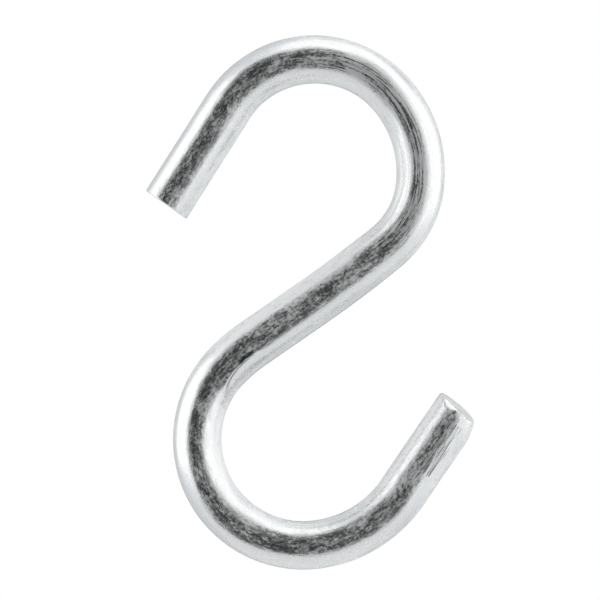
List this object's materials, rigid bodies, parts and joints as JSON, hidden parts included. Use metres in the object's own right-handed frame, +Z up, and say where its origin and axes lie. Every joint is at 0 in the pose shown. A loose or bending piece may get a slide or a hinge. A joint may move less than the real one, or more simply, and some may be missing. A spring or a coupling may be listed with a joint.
{
  "type": "safety chain s-hook",
  "caption": "Open S-hook bent from one length of round zinc-plated steel bar, for hanging a trailer's safety chain between two eyes.",
  "frame": {"origin": "the upper seat: the middle of the upper hook's inside, where the eye that carries the hook bears", "axes": "+Z up the load line, +X across the hook towards the lower tip, +Y through the bar's thickness towards the back"},
  "size_m": [0.0659, 0.0096, 0.1036],
  "materials": {
    "zinc_plated_steel": "bright zinc plating over drawn and bent steel bar, satin, with fine drawing lines and a mottled skin"
  },
  "bodies": {
    "root": {"s_hook": "zinc_plated_steel"}
  },
  "joints": []
}
